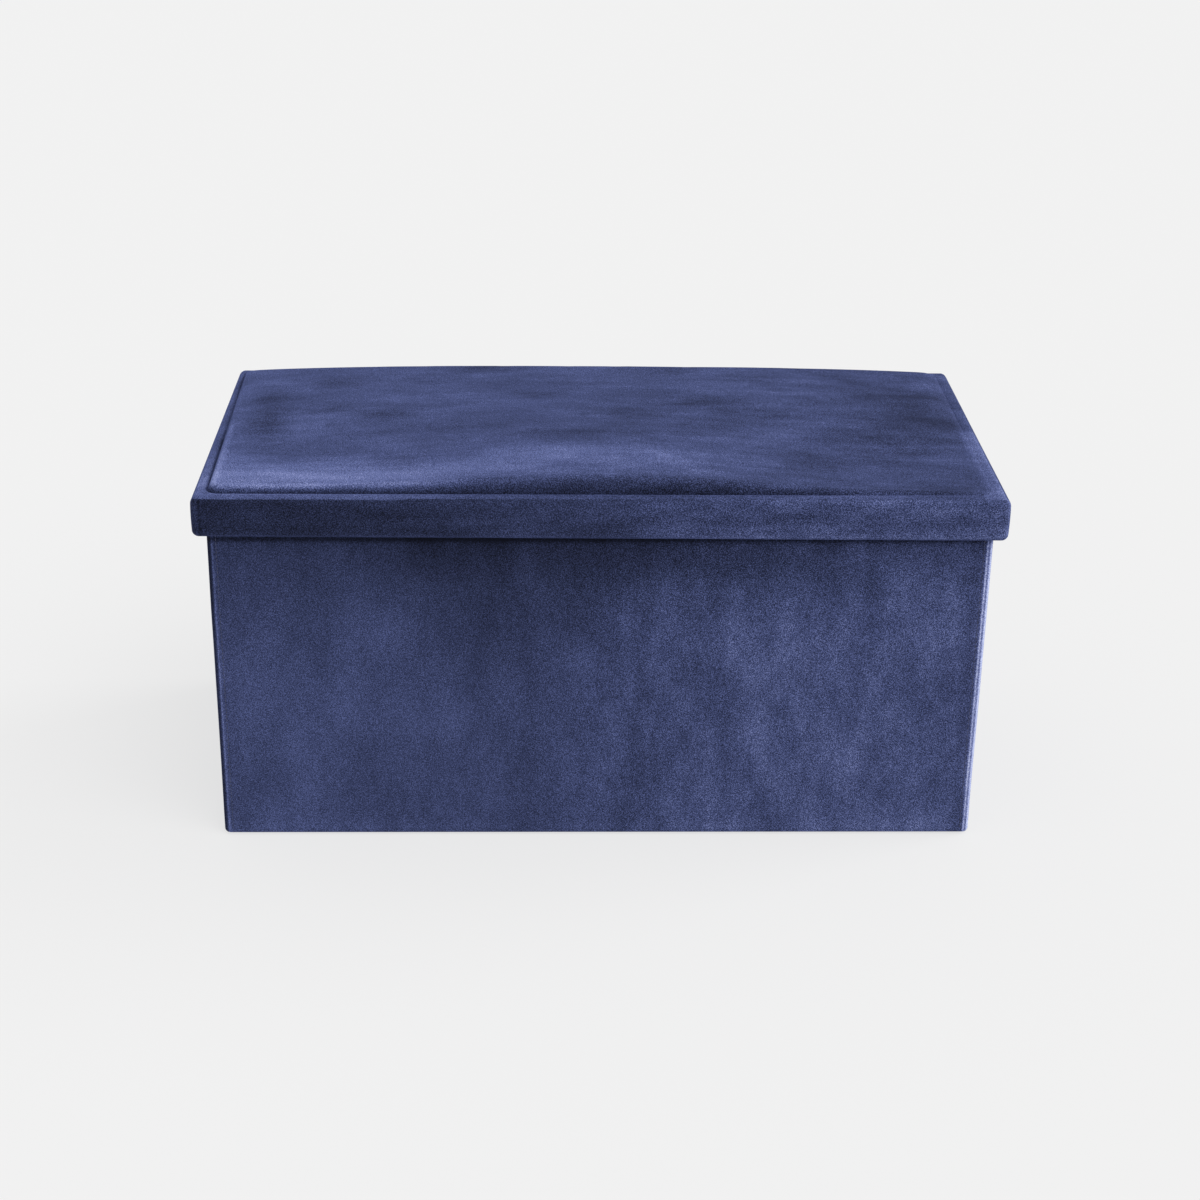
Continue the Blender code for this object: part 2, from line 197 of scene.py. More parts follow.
def velvet_material(name, streaks, brushing, seed):
    """Navy velvet: the pile leans in cloudy patches, and short fibres make a fine grain.

    The painted pile attribute is the pile's tone together with painted highlights and painted shade, and
    nap is how mottled and grainy it is.
    Streaks stretches the patches along the pile, and brushing is how far fine streaks show.
    """
    nodes = Nodes(name)
    nap = nodes.attribute("nap")
    cloud = nodes.noise(9.0, 5.0, 0.6, streaks, (seed, 2.0 * seed, 0.5 * seed))
    cloud = nodes.spread(cloud, 0.28, 0.74, -0.07, 0.07)
    mottle = nodes.noise(32.0, 8.0, 0.7, streaks, (seed, 0, seed))
    mottle = nodes.spread(mottle, 0.3, 0.7, -0.15, 0.15, smooth=False)
    grain = nodes.noise(1150.0, 1.0, 0.5, turn=ASKEW)
    fleck = nodes.spread(grain, 0.34, 0.66, -0.38, 0.38, smooth=False)
    brushed = nodes.noise(70.0, 3.0, 0.6, [share**3 for share in streaks], turn=(0.0, 0.0, 0.02))
    brushed = nodes.spread(brushed, 0.3, 0.7, -brushing, brushing, smooth=False)
    grainy = nodes.spread(nap, 0.0, 1.5, 0.5, 1.2, smooth=False)
    patches = nodes.multiply(nodes.add_up(mottle, brushed), nap)
    fine = nodes.add_up(patches, nodes.multiply(fleck, grainy))
    # The pile attribute holds the pile's tone with painted highlights and painted shade in it.
    pile = nodes.attribute("pile")
    tone = nodes.add_up(nodes.add_up(pile, cloud), fine)
    share = nodes.spread(tone, 0.0, FULL_TONE, 0.0, 1.0, smooth=False)
    colour = nodes.ramp(share, [(stop / FULL_TONE, shade) for stop, shade in VELVET_STOPS])
    waves = nodes.noise(38.0, 3.0, 0.6, streaks, (0, seed, 0))
    normal = nodes.bump(waves, 0.9 * MM, 0.35)
    normal = nodes.bump(grain, 0.5 * MM, 0.7, normal)
    return nodes.finish(
        colour,
        normal,
        Roughness=0.85,
        Sheen_Weight=0.3,
        Sheen_Roughness=0.35,
        Sheen_Tint=(0.28, 0.38, 1.0, 1.0),
        Specular_IOR_Level=0.08,
    )


def lining_material():
    """Black spun-bonded cloth, embossed all over with small dots."""
    nodes = Nodes("lining_cloth")
    dimples = nodes.spread(nodes.cells(420.0, 0.15), 0.1, 0.42, 0.0, 1.0)
    fuzz = nodes.noise(90.0, 5.0, 0.7)
    uneven = nodes.spread(fuzz, 0.3, 0.7, 0.0, 0.5)
    tone = nodes.add_up(uneven, nodes.spread(dimples, 0.0, 1.0, 0.0, 0.35))
    colour = nodes.ramp(tone, ((0.0, (0.008, 0.008, 0.010)), (1.0, (0.046, 0.047, 0.055))))
    normal = nodes.bump(fuzz, 0.8 * MM, 0.3)
    normal = nodes.bump(dimples, 0.3 * MM, 0.5, normal)
    return nodes.finish(colour, normal, Roughness=0.72, Sheen_Weight=0.12, Sheen_Roughness=0.5)


def fibreboard_material():
    nodes = Nodes("fibreboard")
    fibres = nodes.noise(260.0, 6.0, 0.75, (1, 1, 3))
    blotches = nodes.spread(nodes.noise(14.0, 3.0, 0.5), 0.3, 0.7, 0.0, 0.4)
    tone = nodes.add_up(nodes.spread(fibres, 0.25, 0.75, 0.0, 0.6), blotches)
    colour = nodes.ramp(tone, ((0.0, (0.24, 0.15, 0.08)), (1.0, (0.5, 0.36, 0.22))))
    return nodes.finish(colour, nodes.bump(fibres, 0.2 * MM, 0.4), Roughness=0.85)


def foam_material():
    nodes = Nodes("foam")
    depth = nodes.spread(nodes.cells(900.0), 0.0, 0.6, 0.0, 1.0)
    colour = nodes.ramp(depth, ((0.0, (0.5, 0.44, 0.27)), (1.0, (0.82, 0.77, 0.58))))
    return nodes.finish(colour, nodes.bump(depth, 0.5 * MM, 0.6), Roughness=0.95)


def thread_material():
    """Twisted polyester thread."""
    nodes = Nodes("thread")
    twist = nodes.noise(1500.0, 2.0, 0.5, (1, 1, 2.5))
    colour = nodes.ramp(twist, ((0.3, (0.012, 0.015, 0.040)), (0.7, (0.075, 0.090, 0.20))))
    return nodes.finish(colour, nodes.bump(twist, 0.15 * MM, 0.6), Roughness=0.5)


def webbing_material():
    """Ribbed tape: cross ribs from a wave along its length."""
    nodes = Nodes("webbing")
    wave = nodes.add("ShaderNodeTexWave", bands_direction="Y")
    nodes.fill(wave, Scale=260.0, Distortion=0.6)
    nodes.link(nodes.coordinates(), wave.inputs["Vector"])
    ribs = wave.outputs["Fac"]
    colour = nodes.ramp(ribs, ((0.0, (0.012, 0.014, 0.03)), (1.0, (0.05, 0.056, 0.11))))
    return nodes.finish(colour, nodes.bump(ribs, 0.4 * MM, 0.7), Roughness=0.8)


def steel_material():
    nodes = Nodes("staple_steel")
    scratches = nodes.noise(800.0, 3.0, 0.6, (1, 8, 1))
    roughness = nodes.spread(scratches, 0.3, 0.7, 0.22, 0.45)
    colour = nodes.ramp(scratches, ((0.2, (0.45, 0.45, 0.47)), (0.8, (0.66, 0.66, 0.68))))
    return nodes.finish(colour, nodes.bump(scratches, 0.05 * MM, 0.4), roughness, Metallic=1.0)


LOOK = {
    "wall_velvet": velvet_material("wall_velvet", (1.0, 1.0, 0.5), 0.015, 3.7),
    "lid_velvet": velvet_material("lid_velvet", (0.45, 1.0, 1.0), 0.07, 8.3),
    "lining": lining_material(),
    "fibreboard": fibreboard_material(),
    "foam": foam_material(),
    "thread": thread_material(),
    "webbing": webbing_material(),
    "staple_steel": steel_material(),
}


# --- helpers -------------------------------------------------------------------------------------
def add_object(name, data):
    obj = bpy.data.objects.new(name, data)
    bpy.context.scene.collection.objects.link(obj)
    return obj


def make_object(name, mesh, look):
    """A smooth-shaded object in one of the looks."""
    obj = add_object(name, mesh)
    mesh.materials.append(LOOK[look])
    mesh.polygons.foreach_set("use_smooth", [True] * len(mesh.polygons))
    return obj


def finished_mesh(name, bm):
    """A new mesh from a bmesh, which is freed."""
    mesh = bpy.data.meshes.new(name)
    bm.to_mesh(mesh)
    bm.free()
    return mesh


def grid_mesh(name, rows, flip=False):
    """A sheet through rows of points; the rows are equally long."""
    width = len(rows[0])
    faces = []
    for start in range(0, (len(rows) - 1) * width, width):
        for here in range(start, start + width - 1):
            face = (here, here + 1, here + width + 1, here + width)
            faces.append(face[::-1] if flip else face)
    mesh = bpy.data.meshes.new(name)
    mesh.from_pydata([point for row in rows for point in row], [], faces)
    return mesh


def thicken(obj, thickness, levels=1):
    if levels:
        smooth = obj.modifiers.new("smooth", "SUBSURF")
        smooth.levels = smooth.render_levels = levels
        smooth.boundary_smooth = "PRESERVE_CORNERS"
    solidify = obj.modifiers.new("thickness", "SOLIDIFY")
    solidify.thickness = thickness
    solidify.offset = -1.0
    return obj


def thick_sheet(name, rows, look, thickness, levels=1, flip=False):
    """A piece of cloth: a sheet through rows of points, thickened towards its inner side."""
    return thicken(make_object(name, grid_mesh(name, rows, flip), look), thickness, levels)


def paint_pile_and_light(obj, tone, nap):
    """Stores the pile's tone, with the painted highlights and painted shade in it, and its nap at each
    point; both are functions of the point.
    """
    for name, paint in (("pile", tone), ("nap", nap)):
        layer = obj.data.attributes.new(name, "FLOAT", "POINT")
        layer.data.foreach_set("value", [paint(vertex.co) for vertex in obj.data.vertices])


def path_length(points):
    return sum((Vector(b) - Vector(a)).length for a, b in zip(points, points[1:]))


def arc(centre, radius, start, stop, steps):
    """Points along an arc, from one angle to another, in degrees."""
    turns = [radians(start + (stop - start) * i / steps) for i in range(steps + 1)]
    return [(centre[0] + radius * cos(t), centre[1] + radius * sin(t)) for t in turns]


def even(start, stop, pitch):
    """Stations from start to stop, both included, about a pitch apart."""
    steps = max(1, round(abs(stop - start) / pitch))
    return [start + (stop - start) * i / steps for i in range(steps + 1)]


def across(half, distances, pitch):
    """Stations from -half to half, at these distances from both ends and even between them."""
    near = [half - d for d in distances]
    right = even(0.0, near[0], pitch)[:-1] + near
    return [-x for x in reversed(right[1:])] + right


def clamp(value, low, high):
    return min(max(value, low), high)


def smooth_step(value):
    value = clamp(value, 0.0, 1.0)
    return value * value * (3 - 2 * value)


def bell(distance, width):
    return exp(-((distance / width) ** 2))


def spots(u, v, patches):
    """The sum of soft patches at (u, v). A patch has its middle, its reach both ways, and its depth."""
    return sum(depth * bell(u - pu, ru) * bell(v - pv, rv) for pu, pv, ru, rv, depth in patches)


# --- the ring of walls ---------------------------------------------------------------------------
CORNER_RADIUS = 6 * MM
LEAST_RADIUS = 0.8 * MM
SQUEEZE = 22 * MM


def shrink(value, half, inset):
    """Moves a coordinate on a half-length inwards, spending the move on its last stretch."""
    start = half - SQUEEZE
    if abs(value) <= start:
        return value
    return copysign(start + (abs(value) - start) * (SQUEEZE - inset) / SQUEEZE, value)


def ring_point(x, y, inset, half_x, half_y, radius):
    """The point that (x, y) on a rectangle's outline takes at this inset, its corners rounded."""
    px, py = shrink(x, half_x, inset), shrink(y, half_y, inset)
    turn = max(radius - inset, LEAST_RADIUS)
    reach_x, reach_y = half_x - inset - turn, half_y - inset - turn
    cx, cy = clamp(px, -reach_x, reach_x), clamp(py, -reach_y, reach_y)
    length = hypot(px - cx, py - cy)
    if length < 1e-9:
        return px, py
    return cx + (px - cx) / length * turn, cy + (py - cy) / length * turn


def lies_on(value, half):
    """Whether a coordinate lies on the outline at this half-length."""
    return abs(abs(value) - half) < 1e-6


# Distances from a long wall's vertical edge, on its face and round the corner on its end.
EDGE_DISTANCES = [
    d * MM for d in (40, 30, 23, 18, 14.5, 12, 10.6, 9.6, 9, 8.4, 7.4, 6.2, 5.4, 4.8, 4.2, 3.4, 2.4, 1.2, 0)
]
END_FACE = [d * MM for d in (6.4, 5.4, 4.4, 3.4, 2.4, 1.2)]
# Distances from an end wall's fold, which is FOLD_HALF wide on either side.
FOLD_HALF = 2.1 * MM
FOLD_DISTANCES = [d * MM for d in (2.1, 3.4, 4.6, 5.6, 6.4, 7.4, 9, 12, 17, 24)]
# Where the corner hinge strips end on the end walls.
CORNER_END = CORNER_Y - 0.4 * MM

# The walls' seams: distances from a vertical edge, or from the fold.
CORNER_SEAM = 5.2 * MM
TOPSTITCH = 9 * MM
FOLD_STITCH = 6.4 * MM
STITCH_PITCH = 4.2 * MM
HEM_PITCH = 5 * MM


def long_wall_plan(side, ends):
    """Round a long wall, front (-1) or back (1): ends are its stations round each corner."""
    face = [(-side * x, side * BIN_B) for x in across(BIN_A, EDGE_DISTANCES, 12 * MM)]
    first = [(side * BIN_A, side * y) for y in ends]
    last = [(-side * BIN_A, side * y) for y in reversed(ends)]
    return first + face + last


def wall_section():
    """From the hem inside, over the top edge, down the outside and under: (inset, height)."""
    top_radius = WALL / 2
    foot_radius = 4.5 * MM
    hem = [(WALL, z) for z in even(HEM_Z, WALL_TOP - top_radius, 5 * MM)]
    over = arc((top_radius, WALL_TOP - top_radius), top_radius, 0, 180, 8)[1:]
    near_top = [WALL_TOP - top_radius - d * MM for d in (2, 5, 9)]
    under_lid = [LID_BOTTOM - d * MM for d in (0, 3, 5, 6.5, 8, 10, 13)]
    face = under_lid + even(under_lid[-1] - 8 * MM, WALL_BOTTOM + 12 * MM, 9 * MM)
    near_foot = [WALL_BOTTOM + d * MM for d in (8, 6, 4.5)]
    outside = [(0.0, z) for z in near_top + face + near_foot]
    under = arc((foot_radius, WALL_BOTTOM + foot_radius), foot_radius, 180, 270, 4)[1:]
    return hem + over + outside + under + [(6 * MM, WALL_BOTTOM)]


def seam_dent(distance, height):
    """How far the velvet is drawn in at this distance from a wall's vertical edge.

    There is a fine seam at the rounded corner and a topstitched line beside it that puckers.
    """
    seam = 0.55 * MM * bell(distance - CORNER_SEAM, 0.7 * MM)
    pucker = 0.7 + 0.3 * sin(height * 2 * pi / STITCH_PITCH) * bell(distance - TOPSTITCH, 2 * MM)
    return seam + 0.45 * MM * pucker * bell(distance - TOPSTITCH, 1.5 * MM)


def slack(x, y, z):
    """The velvet's slow unevenness over its board: never far, and none at the top and bottom."""
    place = Vector((x * 5, y * 5, z * 6))
    fade = smooth_step((z - WALL_BOTTOM) / (30 * MM)) * smooth_step((WALL_TOP - z) / (40 * MM))
    return 0.8 * MM * fade * (noise.noise(place) + 0.4 * noise.noise(place * 3.1))


def wall_point(x, y, inset, z):
    """The velvet's outer face at this plan point, inset and height."""
    extra = 0.0
    if inset < 0.5 * MM:
        from_edge = BIN_A - abs(x) if lies_on(y, BIN_B) else BIN_B - abs(y)
        edge_fade = smooth_step((z - WALL_BOTTOM) / (6 * MM))
        extra = min(seam_dent(from_edge, z) * edge_fade - slack(x, y, z), 0.9 * MM)
        if lies_on(x, BIN_A):
            fold_seam = bell(abs(y), 2.2 * MM) * 1.3 * MM
            extra += fold_seam + bell(abs(y) - FOLD_STITCH, 1.5 * MM) * 0.4 * MM
    px, py = ring_point(x, y, inset + extra, BIN_A, BIN_B, CORNER_RADIUS)
    return px, py, z


def wall_velvet(name, plan):
    section = wall_section()
    rows = [[wall_point(x, y, inset, z) for inset, z in section] for x, y in plan]
    obj = thick_sheet(name, rows, "wall_velvet", VELVET)
    paint_pile_and_light(obj, wall_tone, wall_nap)
    return obj


def wall_lining(name, plan):
    """The lining inside the same stretch of wall, tucked under the velvet's hem."""
    inset = WALL - 0.4 * MM
    heights = even(2.2 * MM, HEM_Z + 2 * MM, 10 * MM)
    rows = []
    for x, y in plan:
        row = []
        for z in heights:
            fade = smooth_step((HEM_Z - z) / (25 * MM))
            place = Vector((x * 9, y * 9, z * 7 + 4.0))
            loose = (0.35 + 0.9 * abs(noise.noise(place))) * fade * 0.6 * MM
            px, py = ring_point(x, y, inset + loose, BIN_A, BIN_B, CORNER_RADIUS)
            row.append((px, py, z))
        rows.append(row)
    obj = thick_sheet(name, rows, "lining", LINING / 2, flip=True)
    return obj


# Where the front's pile is brushed darker, or lighter where the depth is negative: the middle of
# each patch along and up the wall (0 at its foot, 1 under the lid), its reach, and its depth.
BRUSHED = (
    (0.18, 0.60, 0.05, 0.22, -0.07),
    (-0.09, 0.67, 0.06, 0.13, 0.08),
    (-0.19, 0.39, 0.05, 0.12, -0.09),
    (0.33, 0.67, 0.04, 0.14, -0.10),
    (0.26, 0.10, 0.10, 0.12, 0.05),
)


def wall_tone(co):
    """The pile over the walls: painted shade under the lid with a painted shadow line below its edge,
    brushed bands, and painted highlights and shade at the edges.
    """
    x, y, z = co
    height = clamp((z - WALL_BOTTOM) / (LID_BOTTOM - WALL_BOTTOM), 0.0, 1.0)
    # Painted shade: darker towards the top, where the lid overhangs the wall.
    tone = 0.645 - 0.18 * smooth_step((height - 0.62) / 0.38)
    # Painted shadow: a dark line on the wall just below the lid's bottom edge.
    tone -= 0.36 * bell(z - (LID_BOTTOM - 5.5 * MM), 2.4 * MM)
    tone += 0.05 * bell(z - WALL_BOTTOM - 9 * MM, 4 * MM)
    if y > -BIN_B + 9 * MM:
        if abs(x) > BIN_A - 4 * MM:
            tone += 0.07 * bell(abs(y) - FOLD_STITCH, 2.4 * MM) - 0.32 * bell(y, 1.6 * MM)
        return tone
    tone += 0.07 * smooth_step((x - 0.06) / 0.14)
    tone -= 0.10 * bell(x + 0.09, 0.08) * (0.4 + 0.6 * height)
    # Near the top, under the lid, the painted shade is deeper at the left and in the middle and lighter at
    # the right.
    tone -= 0.05 * bell(x + 0.2, 0.08) * smooth_step((height - 0.7) / 0.2)
    tone += 0.06 * smooth_step((x - 0.19) / 0.06) * smooth_step((height - 0.7) / 0.25)
    middle = smooth_step((x + 0.26) / 0.07) * smooth_step((0.26 - x) / 0.06)
    tone -= 0.10 * middle * smooth_step((height - 0.8) / 0.14)
    tone -= spots(x, height, BRUSHED)
    distance = BIN_A - abs(x)
    on_front = bell(max(y + BIN_B - 1.5 * MM, 0.0), 1.8 * MM)
    if x > 0:
        # Painted highlight: a near-white strip down the right front corner and a light line along its seam.
        tone += 1.6 * on_front * bell(distance, 3.0 * MM) + 0.8 * bell(distance - 5.6 * MM, 0.9 * MM)
        tone -= 0.10 * bell(distance - 15 * MM, 6 * MM)
    else:
        # Painted shade: a dark strip down the unlit left front corner, with a painted highlight along its
        # seam.
        tone += 0.4 * bell(distance - 5.4 * MM, 0.9 * MM) - 0.7 * on_front * bell(distance, 3.6 * MM)
    return tone


def wall_nap(co):
    """The pile is brushed smooth at the left of the front and stands rougher towards the right."""
    return 0.5 + 0.55 * smooth_step((co.x + 0.16) / 0.26)


def build_walls():
    """Velvet and lining for every wall; the front wall's pieces ride on it."""
    wrap = [BIN_B - d for d in END_FACE]
    strip = even(BIN_B - WALL, CORNER_END, 1.5 * MM)
    fold = even(-FOLD_HALF, FOLD_HALF, 0.7 * MM)
    half = FOLD_DISTANCES + even(FOLD_DISTANCES[-1], CORNER_END, 9 * MM)[1:]
    half_front = [-y for y in strip + half[-2::-1]]
    half_back = fold + half[1:]
    plans = {
        "front": long_wall_plan(-1, [BIN_B - WALL] + wrap),
        "right_front": [(BIN_A, y) for y in half_front],
        "right_back": [(BIN_A, y) for y in half_back],
        "back": long_wall_plan(1, strip[::-1] + wrap),
        "left_back": [(-BIN_A, y) for y in reversed(half_back)],
        "left_front": [(-BIN_A, y) for y in reversed(half_front)],
    }
    strips = {
        "right_front": ["front_right_corner_strip"],
        "right_back": ["right_fold_strip"],
        "back": ["back_left_corner_strip", "back_right_corner_strip"],
        "left_back": ["left_fold_strip"],
        "left_front": ["front_left_corner_strip"],
    }
    for wall, plan in plans.items():
        velvet = wall_velvet(f"{wall}_velvet", plan)
        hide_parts(f"{wall}_cover", *strips.get(wall, []))
        lining = wall_lining(f"{wall}_lining_cloth", plan)
        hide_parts(f"{wall}_lining")
        for piece in (velvet, lining):
            if wall == "front":
                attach(piece, "front_wall")
                continue
            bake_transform(piece)


# --- stitching -----------------------------------------------------------------------------------
SIDES = ((-1, "left"), (1, "right"))
HALVES = ((-1, "front"), (1, "back"))
THREAD = 0.75 * MM


def stitch_shape():
    """One stitch of unit length along Z: its points, and its faces as indices into them."""
    rings = ((-0.5, 0.25), (-0.3, 0.5), (0.3, 0.5), (0.5, 0.25))
    sides = 6
    points = [
        Vector((size * cos(2 * pi * k / sides), size * sin(2 * pi * k / sides), z))
        for z, size in rings
        for k in range(sides)
    ]
    faces = [tuple(reversed(range(sides))), tuple(range(3 * sides, 4 * sides))]
    for ring in range(len(rings) - 1):
        for k in range(sides):
            a, b = ring * sides + k, ring * sides + (k + 1) % sides
            faces.append((a, b, b + sides, a + sides))
    return points, faces


STITCH_POINTS, STITCH_FACES = stitch_shape()


def along(path, lengths, distance):
    """The point this far along a path whose corners lie at these lengths."""
    i = 1
    while i < len(path) - 1 and distance > lengths[i]:
        i += 1
    share = (distance - lengths[i - 1]) / max(lengths[i] - lengths[i - 1], 1e-9)
    return Vector(path[i - 1]).lerp(Vector(path[i]), share)


def stitch_row(name, path, body, pitch=STITCH_PITCH):
    """A row of sewn stitches: each is a small rounded length of thread lying along the path."""
    lengths = [path_length(path[: i + 1]) for i in range(len(path))]
    points, faces = [], []
    for i in range(int(lengths[-1] / pitch)):
        a, b = (along(path, lengths, (i + share) * pitch) for share in (0.12, 0.88))
        turn = (b - a).to_track_quat("Z", "Y")
        size = Vector((THREAD, THREAD, (b - a).length))
        first = len(points)
        points += [(a + b) / 2 + turn @ (point * size) for point in STITCH_POINTS]
        faces += [tuple(first + k for k in face) for face in STITCH_FACES]
    mesh = bpy.data.meshes.new(name)
    mesh.from_pydata(points, [], faces)
    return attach(make_object(name, mesh, "thread"), body)


def wall_line(x, y):
    """A vertical line just off the walls' outer face at this plan point."""
    lift = 0.15 * MM
    points = []
    for z in even(WALL_BOTTOM + 6 * MM, WALL_TOP - 6 * MM, 8 * MM):
        px, py, pz = wall_point(x, y, 0.0, z)
        if lies_on(y, BIN_B):
            py += copysign(lift, y)
        else:
            px += copysign(lift, x)
        points.append((px, py, pz))
    return points


def stitch_walls():
    for side, name in SIDES:
        for half, half_name in HALVES:
            path = wall_line(side * (BIN_A - TOPSTITCH), half * BIN_B)
            stitch_row(f"{half_name}_{name}_topstitching", path, f"{half_name}_wall")
        for half, half_name in HALVES:
            wall = f"{name}_{half_name}"
            path = wall_line(side * BIN_A, half * FOLD_STITCH)
            stitch_row(f"{wall}_fold_stitching", path, f"{wall}_wall")
            path = wall_line(side * BIN_A, half * (CORNER_END - 7 * MM))
            stitch_row(f"{wall}_edge_stitching", path, f"{wall}_wall")
    z = HEM_Z + 5 * MM
    inner_x, inner_y = BIN_A - WALL - 0.1 * MM, BIN_B - WALL - 0.1 * MM
    for side, name in HALVES:
        reach, y = inner_x - 12 * MM, side * inner_y
        stitch_row(f"{name}_hem_stitching", [(-reach, y, z), (reach, y, z)], f"{name}_wall", HEM_PITCH)
    for side, name in SIDES:
        for half, half_name in HALVES:
            wall, x = f"{name}_{half_name}", side * inner_x
            path = [(x, half * 7 * MM, z), (x, half * (CORNER_END - 3 * MM), z)]
            stitch_row(f"{wall}_hem_stitching", path, f"{wall}_wall", HEM_PITCH)


def build_open_corner():
    """The velvet that the right back corner turns on: a half tube round the hinge line."""
    radius = 7.2 * MM
    heights = even(WALL_BOTTOM + 2 * MM, WALL_TOP - 6 * MM, 12 * MM)
    plan = arc((CORNER_X, CORNER_Y), radius, -96, 96, 16)
    rows = [[(x, y, z) for z in reversed(heights)] for x, y in plan]
    obj = thick_sheet("right_back_corner_wrap", rows, "wall_velvet", VELVET, levels=0)
    paint_pile_and_light(obj, wall_tone, wall_nap)
    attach(obj, "back_wall")


# --- lid -----------------------------------------------------------------------------------------
EDGE_ROUND = 7 * MM  # the radius of the lid's top edge, and of its outline's corners
GROOVE = 14 * MM
CUSHION_CORNER = 12 * MM
SEAM_AT = 8 * MM
# Distances of the cover's stations from the lid's edge.
LID_DISTANCES = [
    d * MM
    for d in (58, 52, 46, 41, 37, 33, 30, 27.5, 25.5, 23.8, 22.3, 21, 19.8, 18.7, 17.7, 16.8, 16,
              15.3, 14.6, 14, 13.4, 12.6, 11.6, 10.6, 9.6, 8.7, 7.8, 7)
]
# The band is cut a little deeper towards the right: this much for each metre down and along.
BAND_SKEW = 0.085


def edge_distance(x, y):
    """Distance in from the lid's outline, measured round the cushion's rounded corners.

    Along the left side the groove runs nearer to the edge towards the back.
    """
    reach_x, reach_y = LID_A - GROOVE - CUSHION_CORNER, LID_B - GROOVE - CUSHION_CORNER
    lean = 7 * MM * clamp((y + LID_B) / (2 * LID_B), 0.0, 1.0) if x < 0 else 0.0
    dx, dy = abs(x) - lean - reach_x, abs(y) - reach_y
    outside = hypot(max(dx, 0.0), max(dy, 0.0))
    inside = min(max(dx, dy), 0.0)
    return GROOVE + CUSHION_CORNER - outside - inside


def crown(x, y):
    """How high the cushion stands over the rim.

    Its front edge is fullest in the middle and slack at the ends; its back edge is fuller.
    """
    along_lid = max(cos(pi / 2 * x / (LID_A - 10 * MM)), 0.0)
    front = (3.6 - 2.4 * x / LID_A) * MM + 12 * MM * bell(x, 0.175)
    back = 3.4 * MM + 8.8 * MM * along_lid**0.6
    towards_back = smooth_step((y + 0.12) / 0.2)
    dome = 1.2 * MM * along_lid * max(cos(pi / 2 * y / LID_B), 0.0)
    return front + (back - front) * towards_back + dome


def shoulder(x):
    """How wide the cushion's rounded edge is: wide where it is full, narrow where it is slack."""
    return (6 + 7 * bell(x, 0.2)) * MM


def rise(distance, start, width):
    """The cushion's rounded shoulder: 0 at its start and 1 where it is full."""
    return 1 - (1 - clamp((distance - start) / width, 0.0, 1.0)) ** 2.3


def cushion_shape(x, y):
    """The height of the lid's velvet as it is cut and sewn, before it settles."""
    d = edge_distance(x, y)
    at_right = smooth_step((x - 0.12) / 0.2)
    ridge = 0.7 * MM * sin(pi * clamp((d - EDGE_ROUND) / (GROOVE - EDGE_ROUND), 0.0, 1.0))
    full = rise(d, GROOVE, shoulder(x))
    slack_end = rise(LID_A - x, EDGE_ROUND, (48 - 22 * smooth_step(y / 0.14)) * MM)
    lift = ridge * (1 - 0.6 * at_right) + crown(x, y) * full * slack_end
    crease = 1.4 * MM * bell(d - GROOVE, 1.4 * MM) * (1 - 0.9 * at_right)
    inside = smooth_step((d - GROOVE) / (25 * MM))
    place = Vector((x * 7, y * 9, 2.0))
    unevenness = 0.7 * MM * inside * (noise.noise(place) + 0.45 * noise.noise(place * 2.7))
    return RIM_Z + lift - crease + unevenness


SETTLE_FRAMES = 20
SETTLE_CAP = 2.2 * MM  # the foam under the velvet lets it move no further
CLOTH = {
    "quality": 6,
    "mass": 0.3,
    "tension_stiffness": 80.0,
    "compression_stiffness": 80.0,
    "shear_stiffness": 8.0,
    "bending_stiffness": 0.6,
    "shrink_min": -0.004,
    "use_pressure": True,
    "uniform_pressure_force": 0.15,
    "vertex_group_mass": "sewn",
}


def settle_cushion():
    """Swells the seat's velvet as cloth over its foam, held where it is sewn down at the groove.

    Returns the lines of an even grid, and how far the cloth has risen or sunk at each crossing.
    """
    xs = even(GROOVE - LID_A, LID_A - GROOVE, 6 * MM)
    ys = even(GROOVE - LID_B, LID_B - GROOVE, 6 * MM)
    start = [[(x, y, cushion_shape(x, y)) for y in ys] for x in xs]
    mesh = grid_mesh("seat_cloth", start, flip=True)
    obj = add_object("seat_cloth", mesh)
    scene = bpy.context.scene
    held = obj.vertex_groups.new(name="sewn")
    for index, vertex in enumerate(mesh.vertices):
        loose = smooth_step((edge_distance(vertex.co.x, vertex.co.y) - GROOVE) / (12 * MM))
        held.add([index], 1.0 - loose, "REPLACE")
    cloth = obj.modifiers.new("cloth", "CLOTH")
    for key, value in CLOTH.items():
        setattr(cloth.settings, key, value)
    cloth.settings.effector_weights.gravity = 0.0
    cloth.point_cache.frame_end = SETTLE_FRAMES
    for step in range(1, SETTLE_FRAMES + 1):
        scene.frame_set(step)
    shape = obj.evaluated_get(bpy.context.evaluated_depsgraph_get()).to_mesh()
    heights = [vertex.co.z for vertex in shape.vertices]
    scene.frame_set(1)
    bpy.data.objects.remove(obj)
    bpy.data.meshes.remove(mesh)
    change = []
    for i, row in enumerate(start):
        moves = [heights[i * len(ys) + j] - point[2] for j, point in enumerate(row)]
        change.append([SETTLE_CAP * tanh(move / (3 * SETTLE_CAP)) for move in moves])
    return xs, ys, change


SEAT = settle_cushion()


def settled(x, y):
    """How far the settled cloth has moved at (x, y), smoothly between its grid's points."""
    xs, ys, change = SEAT
    u = (x - xs[0]) / (xs[-1] - xs[0]) * (len(xs) - 1)
    v = (y - ys[0]) / (ys[-1] - ys[0]) * (len(ys) - 1)
    if not (0 <= u <= len(xs) - 1 and 0 <= v <= len(ys) - 1):
        return 0.0
    i, j = min(int(u), len(xs) - 2), min(int(v), len(ys) - 2)
    u, v = u - i, v - j
    near = change[i][j] * (1 - v) + change[i][j + 1] * v
    far = change[i + 1][j] * (1 - v) + change[i + 1][j + 1] * v
    return near * (1 - u) + far * u


def lid_surface(x, y):
    """The height of the lid's velvet."""
    return cushion_shape(x, y) + settled(x, y)


